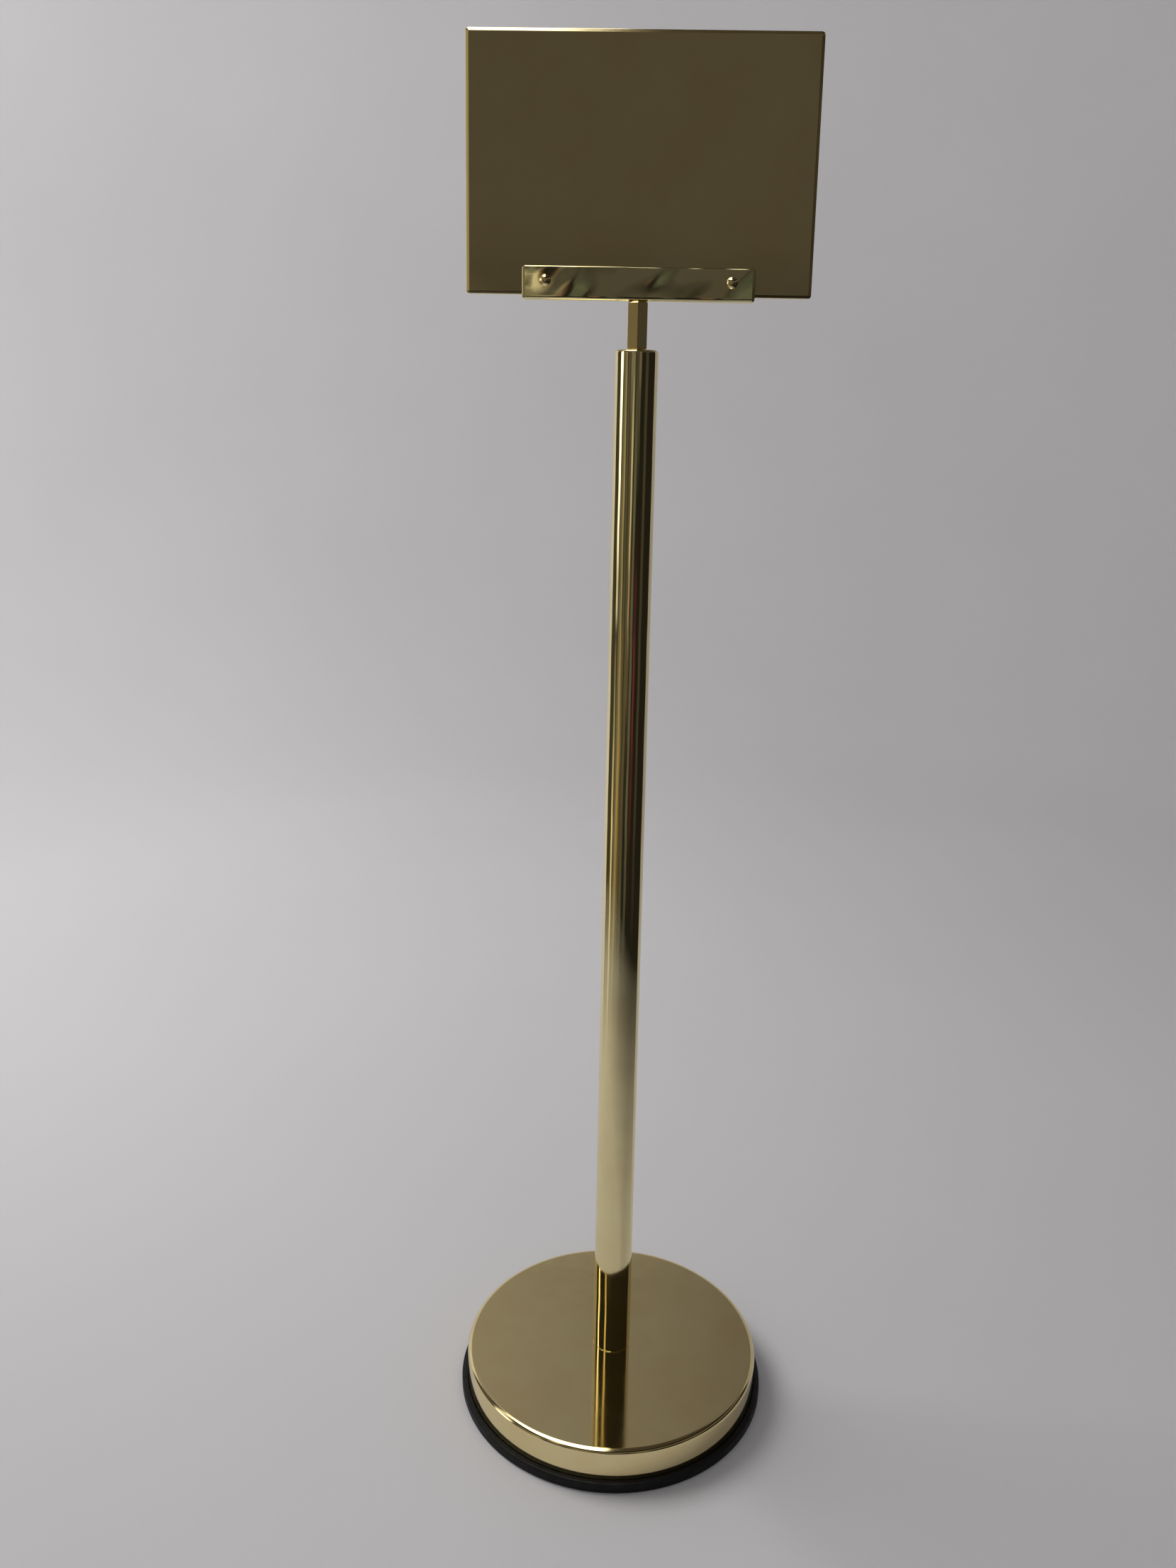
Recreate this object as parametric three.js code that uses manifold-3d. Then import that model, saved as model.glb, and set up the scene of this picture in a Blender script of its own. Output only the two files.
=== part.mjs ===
// A free-standing sign stand: weighted round base, brass post, hex neck and a
// channel bracket that grips a sign plate by its lower edge.
// Units are millimetres, +Z is up, the front of the sign faces -Y.
// The origin is on the floor, at the centre of the base.

import * as THREE from 'three';
import { mergeVertices } from 'three/addons/utils/BufferGeometryUtils.js';
import Module from 'manifold-3d';

// ---------------------------------------------------------------- driving dimensions

const GAP = 0.3;                  // clearance between pieces that touch

// rubber ring under the edge of the base
const RING_RADIUS = 156;
const RING_HEIGHT = 10.5;
const RING_WALL = 5.7;
const RING_FOOT_WIDTH = 18;       // how far the ring reaches in under the weight
const RING_FOOT_HEIGHT = 3;
const RING_EDGE = 2;              // rounding of the ring's outer edges

// spun brass cover
const COVER_RADIUS = 150;
const COVER_TOP = 42;             // height of the flat top above the floor
const COVER_SHEET = 1.5;
const COVER_EDGE = 5;             // rounding between the top and the side
const COVER_BOTTOM = 6;

// cast weight inside the cover
const WEIGHT_THICKNESS = 18;
const BOSS_RADIUS = 42;           // raised centre, which carries the cover and the tube
const BOSS_FLARE = 8;             // how much wider the boss is at its foot
const NUT_RECESS_RADIUS = 26;
const NUT_RECESS_DEPTH = 20;

// post
const TUBE_DIAMETER = 38.1;
const TUBE_WALL = 1.6;
const POST_HEIGHT = 1003;         // from the cover's top to the top of the plug

// plugs in the two ends of the tube
const FOOT_PLUG_LENGTH = 22;
const FOOT_SPIGOT_RADIUS = 11;
const FOOT_SPIGOT_LENGTH = 8;
const TOP_PLUG_FLANGE = 4;
const TOP_PLUG_EDGE = 2.4;
const TOP_PLUG_LENGTH = 30;

// tie rod and its fastenings (M12)
const TIE_ROD_DIAMETER = 12;
const TIE_ROD_BOTTOM = 6;
const TIE_ROD_GRIP = 14;          // how far the rod reaches into the top plug
const TIE_NUT_FLATS = 19;
const TIE_NUT_HEIGHT = 10;
const TIE_NUT_CHAMFER = 0.8;
const TIE_WASHER_RADIUS = 18;
const TIE_WASHER_THICKNESS = 2.5;
const LOCK_WASHER_RADIUS = 10.5;
const LOCK_WASHER_THICKNESS = 2.5;
const LOCK_WASHER_SPLIT = 1.6;

// neck: hex bar joined by a stud below (M10) and a stud above (M6)
const NECK_FLATS = 17;
const NECK_LENGTH = 39.7;
const NECK_CHAMFER = 1.2;
const NECK_STUD_DIAMETER = 10;
const NECK_STUD_REACH = 12;       // into the plug
const NECK_STUD_RISE = 18;        // into the neck
const WAVE_WASHER_RADIUS = 7.6;
const WAVE_WASHER_THICKNESS = 0.9;
const BRACKET_STUD_DIAMETER = 6;
const BRACKET_STUD_DROP = 12;     // into the neck
const STUD_FREE_END = 1.5;        // tapped depth left beyond a stud's end

// bracket channel
const BRACKET_LENGTH = 200;
const BRACKET_HEIGHT = 28;
const BRACKET_WALL = 2.7;
const BRACKET_FLOOR = 4;
const BRACKET_BEND = 3.5;         // outer rounding along the two bottom edges
const BRACKET_LIP = 1;            // broken edge along the top of the flanges
const SCREW_SPACING = 160;
const SCREW_HEIGHT = 16;          // above the bottom of the bracket

// dome screws and cap nuts (M5)
const SCREW_DIAMETER = 5;
const DOME_RADIUS = 4.8;
const DOME_HEIGHT = 2.8;
const BACK_WASHER_RADIUS = 5;
const BACK_WASHER_THICKNESS = 0.9;
const CAP_NUT_FLATS = 8;
const CAP_NUT_HEX_HEIGHT = 3.6;       // the dome stands on this
const CAP_NUT_CHAMFER = 0.4;
const SCREW_NUT_GRIP = 4.4;       // how far the screw reaches into the cap nut

// sign plate (A4, landscape)
const PLATE_WIDTH = 297;
const PLATE_HEIGHT = 210;
const PLATE_THICKNESS = 4;
const PLATE_CORNER = 3;
const PLATE_EDGE = 1.6;           // rounding of the plate's edges

const PAD_INSET = 2;              // between the felt pad and the ring's foot
const OVERRUN = 1;                // how far a cutter or a joined piece runs past the face it starts at

// how finely round pieces are divided
const COARSE = 24;
const MEDIUM = 48;
const FINE = 72;
const ON_AXIS = 1e-6;             // a smaller radius than this is on the axis

// ---------------------------------------------------------------- derived sizes and heights

const ROD_BORE = TIE_ROD_DIAMETER / 2 + GAP;
const WEIGHT_BOTTOM = RING_FOOT_HEIGHT + GAP;
const COVER_UNDERSIDE = COVER_TOP - COVER_SHEET;
const BOSS_TOP = COVER_UNDERSIDE - GAP;
const NUT_RECESS_TOP = WEIGHT_BOTTOM + NUT_RECESS_DEPTH;
const TUBE_BOTTOM = COVER_TOP + GAP;
const PLUG_TOP = COVER_TOP + POST_HEIGHT;
const FLANGE_BOTTOM = PLUG_TOP - TOP_PLUG_FLANGE;
const TUBE_TOP = FLANGE_BOTTOM - GAP;
const TUBE_RADIUS = TUBE_DIAMETER / 2;
const PLUG_RADIUS = TUBE_RADIUS - TUBE_WALL - GAP;
const PLUG_BOTTOM = PLUG_TOP - TOP_PLUG_LENGTH;
const NECK_BOTTOM = PLUG_TOP + GAP;
const NECK_TOP = NECK_BOTTOM + NECK_LENGTH;
const BRACKET_BOTTOM = NECK_TOP + GAP;
const BRACKET_DEPTH = PLATE_THICKNESS + 2 * GAP + 2 * BRACKET_WALL;
const PLATE_BOTTOM = BRACKET_BOTTOM + BRACKET_FLOOR + GAP;
const SCREW_Z = BRACKET_BOTTOM + SCREW_HEIGHT;
const FRONT_FACE_Y = -BRACKET_DEPTH / 2;
const BACK_FACE_Y = BRACKET_DEPTH / 2;

// ---------------------------------------------------------------- materials

const brass = (color, roughness) => new THREE.MeshStandardMaterial({ color, roughness, metalness: 1 });
const polishedBrass = () => brass(0xd8b45a, 0.08);
const turnedBrass = () => brass(0xc9a550, 0.25);
const zincSteel = () => new THREE.MeshStandardMaterial({ color: 0xaeb2b8, roughness: 0.4, metalness: 1 });
const castIron = () => new THREE.MeshStandardMaterial({ color: 0x3a3b3d, roughness: 0.8, metalness: 0.6 });
const blackRubber = () => new THREE.MeshStandardMaterial({ color: 0x161617, roughness: 0.7, metalness: 0 });
const darkFelt = () => new THREE.MeshStandardMaterial({ color: 0x24382c, roughness: 1, metalness: 0 });

// ---------------------------------------------------------------- shape helpers

const wasm = await Module();
wasm.setup();

// A closed geometry with only its shared positions, as the solid library wants it.
function toSolid(geometry) {
  const plain = geometry.clone();
  plain.deleteAttribute('normal');
  plain.deleteAttribute('uv');
  const merged = mergeVertices(plain, 1e-4);
  return new wasm.Manifold(new wasm.Mesh({
    numProp: 3,
    vertProperties: new Float32Array(merged.attributes.position.array),
    triVerts: new Uint32Array(merged.index.array),
  }));
}

function fromSolid(solid) {
  const mesh = solid.getMesh();
  const geometry = new THREE.BufferGeometry();
  geometry.setAttribute('position', new THREE.BufferAttribute(mesh.vertProperties, 3));
  geometry.setIndex(new THREE.BufferAttribute(mesh.triVerts, 1));
  geometry.computeVertexNormals();
  return geometry;
}

function cut(body, ...tools) {
  let solid = toSolid(body);
  for (const tool of tools) {
    solid = solid.subtract(toSolid(tool));
  }
  return fromSolid(solid);
}

function join(body, ...others) {
  let solid = toSolid(body);
  for (const other of others) {
    solid = solid.add(toSolid(other));
  }
  return fromSolid(solid);
}

// A solid of revolution about Z. Points are [radius, height], bottom to top along the outside.
function revolve(points, segments) {
  const profile = points.map(([radius, height]) => new THREE.Vector2(radius < ON_AXIS ? 0 : radius, height));
  return new THREE.LatheGeometry(profile, segments).rotateX(Math.PI / 2);
}

// A plain or hollow round piece between two heights.
function disc(radius, bottom, top, segments, bore = 0) {
  if (bore === 0) {
    return revolve([[0, bottom], [radius, bottom], [radius, top], [0, top]], segments);
  }
  return revolve([[bore, bottom], [radius, bottom], [radius, top], [bore, top], [bore, bottom]], segments);
}

// Points of a quarter or part arc in a profile, from one angle to another in degrees.
function arc(centreRadius, centreHeight, radius, from, to, steps) {
  return Array.from({ length: steps + 1 }, (unused, i) => {
    const angle = THREE.MathUtils.degToRad(from + (to - from) * i / steps);
    return [centreRadius + radius * Math.cos(angle), centreHeight + radius * Math.sin(angle)];
  });
}

// A hexagonal outline with one corner towards -Y.
function hexagon(flats) {
  const corner = flats / Math.sqrt(3);
  const points = Array.from({ length: 6 }, (unused, i) => {
    const angle = -Math.PI / 2 + i * Math.PI / 3;
    return new THREE.Vector2(corner * Math.cos(angle), corner * Math.sin(angle));
  });
  return new THREE.Shape(points);
}

// A hexagonal bar between two heights, chamfered at both ends.
function hexBar(flats, bottom, top, chamfer) {
  const geometry = new THREE.ExtrudeGeometry(hexagon(flats), {
    depth: top - bottom - 2 * chamfer,
    bevelEnabled: chamfer > 0,
    bevelThickness: chamfer,
    bevelSize: chamfer,
    bevelOffset: -chamfer,
    bevelSegments: 1,
  });
  return geometry.translate(0, 0, bottom + chamfer);
}

const stand = new THREE.Group();

function place(name, geometry, material, x = 0, y = 0, z = 0) {
  const mesh = new THREE.Mesh(geometry, material);
  mesh.name = name;
  mesh.position.set(x, y, z);
  stand.add(mesh);
  return mesh;
}

// ---------------------------------------------------------------- base

function rubberRing() {
  const inner = RING_RADIUS - RING_WALL;
  return revolve([
    [inner - RING_FOOT_WIDTH, 0],
    ...arc(RING_RADIUS - RING_EDGE, RING_EDGE, RING_EDGE, -90, 0, 2),
    ...arc(RING_RADIUS - RING_EDGE, RING_HEIGHT - RING_EDGE, RING_EDGE, 0, 90, 2),
    [inner, RING_HEIGHT],
    [inner, RING_FOOT_HEIGHT],
    [inner - RING_FOOT_WIDTH, RING_FOOT_HEIGHT],
    [inner - RING_FOOT_WIDTH, 0],
  ], FINE);
}

function feltPad() {
  const radius = RING_RADIUS - RING_WALL - RING_FOOT_WIDTH - PAD_INSET;
  return disc(radius, 0, RING_FOOT_HEIGHT, MEDIUM);
}

function brassCover() {
  const inside = COVER_RADIUS - COVER_SHEET;
  const insideEdge = COVER_EDGE - COVER_SHEET;
  const hole = FOOT_SPIGOT_RADIUS + GAP;
  return revolve([
    [COVER_RADIUS, COVER_BOTTOM],
    ...arc(COVER_RADIUS - COVER_EDGE, COVER_TOP - COVER_EDGE, COVER_EDGE, 0, 90, 4),
    [hole, COVER_TOP],
    [hole, COVER_UNDERSIDE],
    ...arc(inside - insideEdge, COVER_UNDERSIDE - insideEdge, insideEdge, 90, 0, 2),
    [inside, COVER_BOTTOM],
    [COVER_RADIUS, COVER_BOTTOM],
  ], FINE);
}

function castWeight() {
  const radius = COVER_RADIUS - COVER_SHEET - GAP;
  const slabTop = WEIGHT_BOTTOM + WEIGHT_THICKNESS;
  const spigotHole = FOOT_SPIGOT_RADIUS + GAP;
  const spigotBottom = TUBE_BOTTOM - FOOT_SPIGOT_LENGTH - GAP;
  return revolve([
    [NUT_RECESS_RADIUS, WEIGHT_BOTTOM],
    [radius, WEIGHT_BOTTOM],
    [radius, slabTop],
    [BOSS_RADIUS + BOSS_FLARE, slabTop],
    [BOSS_RADIUS, BOSS_TOP],
    [spigotHole, BOSS_TOP],
    [spigotHole, spigotBottom],
    [ROD_BORE, spigotBottom],
    [ROD_BORE, NUT_RECESS_TOP],
    [NUT_RECESS_RADIUS, NUT_RECESS_TOP],
    [NUT_RECESS_RADIUS, WEIGHT_BOTTOM],
  ], MEDIUM);
}

// ---------------------------------------------------------------- tie rod and fastenings

const WASHER_TOP = NUT_RECESS_TOP - GAP;
const WASHER_BOTTOM = WASHER_TOP - TIE_WASHER_THICKNESS;
const LOCK_TOP = WASHER_BOTTOM - GAP;
const LOCK_BOTTOM = LOCK_TOP - LOCK_WASHER_THICKNESS;
const NUT_TOP = LOCK_BOTTOM - GAP;
const NUT_BOTTOM = NUT_TOP - TIE_NUT_HEIGHT;

function tieRod() {
  return disc(TIE_ROD_DIAMETER / 2, TIE_ROD_BOTTOM, PLUG_BOTTOM + TIE_ROD_GRIP, COARSE);
}

function tieNut() {
  return cut(
    hexBar(TIE_NUT_FLATS, NUT_BOTTOM, NUT_TOP, TIE_NUT_CHAMFER),
    disc(ROD_BORE, NUT_BOTTOM - OVERRUN, NUT_TOP + OVERRUN, COARSE),
  );
}

function lockWasher() {
  const split = new THREE.BoxGeometry(LOCK_WASHER_SPLIT, 2 * LOCK_WASHER_RADIUS, 3 * LOCK_WASHER_THICKNESS);
  split.translate(0, LOCK_WASHER_RADIUS, (LOCK_TOP + LOCK_BOTTOM) / 2);
  return cut(disc(LOCK_WASHER_RADIUS, LOCK_BOTTOM, LOCK_TOP, COARSE, ROD_BORE), split);
}

function tieWasher() {
  return disc(TIE_WASHER_RADIUS, WASHER_BOTTOM, WASHER_TOP, COARSE, ROD_BORE);
}

// ---------------------------------------------------------------- post

function postTube() {
  return disc(TUBE_RADIUS, TUBE_BOTTOM, TUBE_TOP, MEDIUM, TUBE_RADIUS - TUBE_WALL);
}

function footPlug() {
  const spigotBottom = TUBE_BOTTOM - FOOT_SPIGOT_LENGTH;
  return revolve([
    [ROD_BORE, spigotBottom],
    [FOOT_SPIGOT_RADIUS, spigotBottom],
    [FOOT_SPIGOT_RADIUS, TUBE_BOTTOM],
    [PLUG_RADIUS, TUBE_BOTTOM],
    [PLUG_RADIUS, TUBE_BOTTOM + FOOT_PLUG_LENGTH],
    [ROD_BORE, TUBE_BOTTOM + FOOT_PLUG_LENGTH],
    [ROD_BORE, spigotBottom],
  ], MEDIUM);
}

// The plug is tapped from below for the tie rod and from above for the neck stud,
// with a shallow seat at the top for the wave washer.
function topPlug() {
  const rodHoleTop = PLUG_BOTTOM + TIE_ROD_GRIP + STUD_FREE_END;
  const studHoleBottom = PLUG_TOP - NECK_STUD_REACH - GAP;
  const studBore = NECK_STUD_DIAMETER / 2 + GAP;
  const seatRadius = WAVE_WASHER_RADIUS + GAP;
  const seatBottom = PLUG_TOP - WAVE_WASHER_THICKNESS - GAP;
  const outside = [
    [0, rodHoleTop],
    [ROD_BORE, rodHoleTop],
    [ROD_BORE, PLUG_BOTTOM],
    [PLUG_RADIUS, PLUG_BOTTOM],
    [PLUG_RADIUS, FLANGE_BOTTOM],
    [TUBE_RADIUS, FLANGE_BOTTOM],
    ...arc(TUBE_RADIUS - TOP_PLUG_EDGE, PLUG_TOP - TOP_PLUG_EDGE, TOP_PLUG_EDGE, 0, 90, 3),
  ];
  const inside = [
    [seatRadius, PLUG_TOP],
    [seatRadius, seatBottom],
    [studBore, seatBottom],
    [studBore, studHoleBottom],
    [0, studHoleBottom],
  ];
  return revolve([...outside, ...inside], MEDIUM);
}

// ---------------------------------------------------------------- neck

function neckStud() {
  return disc(NECK_STUD_DIAMETER / 2, PLUG_TOP - NECK_STUD_REACH, NECK_BOTTOM + NECK_STUD_RISE, COARSE);
}

function waveWasher() {
  const bore = NECK_STUD_DIAMETER / 2 + GAP;
  return disc(WAVE_WASHER_RADIUS, PLUG_TOP - WAVE_WASHER_THICKNESS, PLUG_TOP, COARSE, bore);
}

function neckSpacer() {
  const lowerEnd = NECK_BOTTOM + NECK_STUD_RISE + STUD_FREE_END;
  const upperEnd = NECK_TOP - BRACKET_STUD_DROP - STUD_FREE_END;
  const lowerBore = disc(NECK_STUD_DIAMETER / 2 + GAP, NECK_BOTTOM - OVERRUN, lowerEnd, COARSE);
  const upperBore = disc(BRACKET_STUD_DIAMETER / 2 + GAP, upperEnd, NECK_TOP + OVERRUN, COARSE);
  return cut(hexBar(NECK_FLATS, NECK_BOTTOM, NECK_TOP, NECK_CHAMFER), lowerBore, upperBore);
}

function bracketStud() {
  const top = BRACKET_BOTTOM + BRACKET_FLOOR - GAP;
  return disc(BRACKET_STUD_DIAMETER / 2, NECK_TOP - BRACKET_STUD_DROP, top, COARSE);
}

// ---------------------------------------------------------------- bracket

// The channel's section in Y and Z, extruded along X.
function channelSection() {
  const half = BRACKET_DEPTH / 2;
  const slot = half - BRACKET_WALL;
  const section = new THREE.Shape();
  section.moveTo(-half + BRACKET_BEND, 0);
  section.lineTo(half - BRACKET_BEND, 0);
  section.absarc(half - BRACKET_BEND, BRACKET_BEND, BRACKET_BEND, -Math.PI / 2, 0, false);
  section.lineTo(half, BRACKET_HEIGHT - BRACKET_LIP);
  section.lineTo(half - BRACKET_LIP, BRACKET_HEIGHT);
  section.lineTo(slot, BRACKET_HEIGHT);
  section.lineTo(slot, BRACKET_FLOOR);
  section.lineTo(-slot, BRACKET_FLOOR);
  section.lineTo(-slot, BRACKET_HEIGHT);
  section.lineTo(-half + BRACKET_LIP, BRACKET_HEIGHT);
  section.lineTo(-half, BRACKET_HEIGHT - BRACKET_LIP);
  section.lineTo(-half, BRACKET_BEND);
  section.absarc(-half + BRACKET_BEND, BRACKET_BEND, BRACKET_BEND, Math.PI, 1.5 * Math.PI, false);
  return section;
}

// A round cutter along Y through the bracket and the plate.
function screwHole(x, z) {
  const radius = SCREW_DIAMETER / 2 + GAP;
  const reach = 2 * BRACKET_DEPTH;
  return new THREE.CylinderGeometry(radius, radius, reach, COARSE).translate(x, 0, z);
}

function bracketChannel() {
  const bar = new THREE.ExtrudeGeometry(channelSection(), {
    depth: BRACKET_LENGTH,
    bevelEnabled: false,
    curveSegments: 5,
  });
  // the section's axes become Y and Z, and the extrusion runs along X
  bar.rotateX(Math.PI / 2).rotateZ(Math.PI / 2).translate(-BRACKET_LENGTH / 2, 0, 0);
  const studHole = disc(BRACKET_STUD_DIAMETER / 2 + GAP, -OVERRUN, BRACKET_FLOOR + OVERRUN, COARSE);
  return cut(
    bar,
    studHole,
    screwHole(-SCREW_SPACING / 2, SCREW_HEIGHT),
    screwHole(SCREW_SPACING / 2, SCREW_HEIGHT),
  );
}

// ---------------------------------------------------------------- screws through the bracket

// These pieces are turned about Z, then laid along Y: local +Z points to the front of the sign.
function laidForward(geometry) {
  return geometry.rotateX(Math.PI / 2);
}

const HEAD_SEAT = -FRONT_FACE_Y + GAP;
const WASHER_SEAT = BACK_FACE_Y + GAP;
const CAP_NUT_SEAT = WASHER_SEAT + BACK_WASHER_THICKNESS + GAP;

function domeScrew() {
  const shank = SCREW_DIAMETER / 2;
  const capRadius = (DOME_RADIUS ** 2 + DOME_HEIGHT ** 2) / (2 * DOME_HEIGHT);
  const rimAngle = THREE.MathUtils.radToDeg(Math.asin((capRadius - DOME_HEIGHT) / capRadius));
  return laidForward(revolve([
    [0, -CAP_NUT_SEAT - SCREW_NUT_GRIP],
    [shank, -CAP_NUT_SEAT - SCREW_NUT_GRIP],
    [shank, HEAD_SEAT],
    ...arc(0, HEAD_SEAT + DOME_HEIGHT - capRadius, capRadius, rimAngle, 90, 5),
  ], COARSE));
}

function backWasher() {
  const bore = SCREW_DIAMETER / 2 + GAP;
  const backSide = -WASHER_SEAT - BACK_WASHER_THICKNESS;
  return laidForward(disc(BACK_WASHER_RADIUS, backSide, -WASHER_SEAT, COARSE, bore));
}

function capNut() {
  const hexEnd = -CAP_NUT_SEAT - CAP_NUT_HEX_HEIGHT;
  const domeRadius = CAP_NUT_FLATS / 2 - GAP;
  const hex = hexBar(CAP_NUT_FLATS, hexEnd, -CAP_NUT_SEAT, CAP_NUT_CHAMFER);
  const dome = revolve([
    ...arc(0, hexEnd, domeRadius, -90, 0, 5),
    [domeRadius, hexEnd + OVERRUN],
    [0, hexEnd + OVERRUN],
  ], COARSE);
  const boreEnd = -CAP_NUT_SEAT - SCREW_NUT_GRIP - GAP;
  const bore = disc(SCREW_DIAMETER / 2 + GAP, boreEnd, -CAP_NUT_SEAT + OVERRUN, COARSE);
  return laidForward(cut(join(hex, dome), bore));
}

// ---------------------------------------------------------------- sign plate

function roundedRectangle(width, height, radius) {
  const right = width / 2;
  const shape = new THREE.Shape();
  shape.moveTo(-right + radius, 0);
  shape.lineTo(right - radius, 0);
  shape.absarc(right - radius, radius, radius, -Math.PI / 2, 0, false);
  shape.lineTo(right, height - radius);
  shape.absarc(right - radius, height - radius, radius, 0, Math.PI / 2, false);
  shape.lineTo(-right + radius, height);
  shape.absarc(-right + radius, height - radius, radius, Math.PI / 2, Math.PI, false);
  shape.lineTo(-right, radius);
  shape.absarc(-right + radius, radius, radius, Math.PI, 1.5 * Math.PI, false);
  return shape;
}

function signPlate() {
  const plate = new THREE.ExtrudeGeometry(roundedRectangle(PLATE_WIDTH, PLATE_HEIGHT, PLATE_CORNER), {
    depth: PLATE_THICKNESS - 2 * PLATE_EDGE,
    bevelThickness: PLATE_EDGE,
    bevelSize: PLATE_EDGE,
    bevelOffset: -PLATE_EDGE,
    bevelSegments: 3,
    curveSegments: 5,
  });
  plate.translate(0, 0, -PLATE_THICKNESS / 2 + PLATE_EDGE).rotateX(Math.PI / 2);
  const holeHeight = SCREW_Z - PLATE_BOTTOM;
  return cut(
    plate,
    screwHole(-SCREW_SPACING / 2, holeHeight),
    screwHole(SCREW_SPACING / 2, holeHeight),
  );
}

// ---------------------------------------------------------------- assembly

place('base_rubber_ring', rubberRing(), blackRubber());
place('base_felt_pad', feltPad(), darkFelt());
place('base_cover', brassCover(), polishedBrass());
place('base_weight', castWeight(), castIron());
place('tie_rod_nut', tieNut(), zincSteel());
place('tie_rod_lock_washer', lockWasher(), zincSteel());
place('tie_rod_washer', tieWasher(), zincSteel());
place('tie_rod', tieRod(), zincSteel());
place('tube_foot_plug', footPlug(), turnedBrass());
place('post_tube', postTube(), polishedBrass());
place('tube_top_plug', topPlug(), polishedBrass());
place('neck_stud', neckStud(), zincSteel());
place('neck_wave_washer', waveWasher(), zincSteel());
place('neck_spacer', neckSpacer(), polishedBrass());
place('bracket_stud', bracketStud(), zincSteel());
place('bracket_channel', bracketChannel(), polishedBrass(), 0, 0, BRACKET_BOTTOM);
place('sign_panel', signPlate(), polishedBrass(), 0, 0, PLATE_BOTTOM);

for (const [side, x] of [['left', -SCREW_SPACING / 2], ['right', SCREW_SPACING / 2]]) {
  place(`dome_screw_${side}`, domeScrew(), polishedBrass(), x, 0, SCREW_Z);
  place(`back_washer_${side}`, backWasher(), polishedBrass(), x, 0, SCREW_Z);
  place(`cap_nut_${side}`, capNut(), polishedBrass(), x, 0, SCREW_Z);
}

export default stand;
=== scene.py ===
import math

import bpy
from mathutils import Matrix, Vector


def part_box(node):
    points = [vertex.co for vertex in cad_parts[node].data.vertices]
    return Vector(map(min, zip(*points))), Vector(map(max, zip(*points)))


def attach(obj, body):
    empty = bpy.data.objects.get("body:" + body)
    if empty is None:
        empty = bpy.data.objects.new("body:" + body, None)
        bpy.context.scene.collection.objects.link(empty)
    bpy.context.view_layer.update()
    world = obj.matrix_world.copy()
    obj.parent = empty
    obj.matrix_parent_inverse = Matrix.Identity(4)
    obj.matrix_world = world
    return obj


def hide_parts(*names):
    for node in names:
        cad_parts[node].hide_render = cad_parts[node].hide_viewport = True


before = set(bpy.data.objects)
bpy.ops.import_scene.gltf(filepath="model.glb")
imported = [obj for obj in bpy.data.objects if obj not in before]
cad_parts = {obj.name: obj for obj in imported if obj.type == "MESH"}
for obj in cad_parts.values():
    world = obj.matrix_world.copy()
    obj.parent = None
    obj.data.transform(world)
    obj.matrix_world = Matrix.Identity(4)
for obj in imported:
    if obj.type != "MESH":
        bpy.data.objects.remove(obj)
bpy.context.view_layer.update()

# A brass sign stand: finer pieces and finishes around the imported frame.
# Sizes are in metres. Places come from the boxes of the CAD nodes.

MM = 0.001


# ---------------------------------------------------------------- places from the frame

ring_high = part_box("base_rubber_ring")[1]
cover_low, cover_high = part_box("base_cover")
pad_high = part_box("base_felt_pad")[1]
tube_low, tube_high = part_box("post_tube")
plug_low, plug_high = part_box("tube_top_plug")
neck_low, neck_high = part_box("neck_spacer")
bracket_low, bracket_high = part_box("bracket_channel")
plate_low, plate_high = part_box("sign_panel")
wave_low, wave_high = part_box("neck_wave_washer")
stud_low, stud_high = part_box("neck_stud")
bracket_stud_low, bracket_stud_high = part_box("bracket_stud")
rod_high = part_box("tie_rod")[1]

SCREW_SIDES = ("left", "right")
screw_boxes = [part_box("dome_screw_" + side) for side in SCREW_SIDES]
SCREW_XS = [(low.x + high.x) / 2 for low, high in screw_boxes]
screw_low, screw_high = screw_boxes[0]
SCREW_Z = (screw_low.z + screw_high.z) / 2
DOME_RADIUS = (screw_high.x - screw_low.x) / 2
SHANK_RADIUS = 2.5 * MM
THREAD_CORE = 2.1 * MM
THREAD_PITCH = 0.8 * MM
SCREW_HOLE = 2.8 * MM                    # radius of the holes that the screws pass through

GAP = neck_low.z - plug_high.z           # clearance between pieces that touch
SEAM = 0.03 * MM                         # hairline left between closed joints
NECK_SEAM = 0.1 * MM                     # the same at both ends of the neck
DRILL_SPARE = 1.5 * MM                   # how far a blind hole runs past what stands in it
ON_AXIS = 0.02 * MM                      # radius of a point on the axis, so that no face collapses
TUBE_RADIUS = tube_high.x
TUBE_WALL = 1.6 * MM
COVER_RADIUS = cover_high.x
COVER_SHEET = 1.5 * MM
COVER_EDGE = 5 * MM
RING_RADIUS = ring_high.x
RING_WALL = 5.7 * MM
RING_FOOT_WIDTH = 18 * MM
RING_FOOT_HEIGHT = 3 * MM
RING_EDGE = 2 * MM
SPIGOT_HOLE = 11.3 * MM
PLUG_EDGE = 2.4 * MM
PLUG_FLANGE = 4 * MM
NECK_FLATS = neck_high.x - neck_low.x
NECK_CHAMFER = 1.2 * MM
BRACKET_WALL = 2.7 * MM
BRACKET_FLOOR = 4 * MM
BRACKET_BEND = 3.5 * MM
BRACKET_END = (2.4 * MM, 1.0 * MM)       # width and depth of the buffed bevel at each end
PLATE_CORNER = 3 * MM
PLATE_EDGE = (2.8 * MM, 1.15 * MM)       # width and depth of the buffed bevel all round


# ---------------------------------------------------------------- mesh helpers

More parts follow.
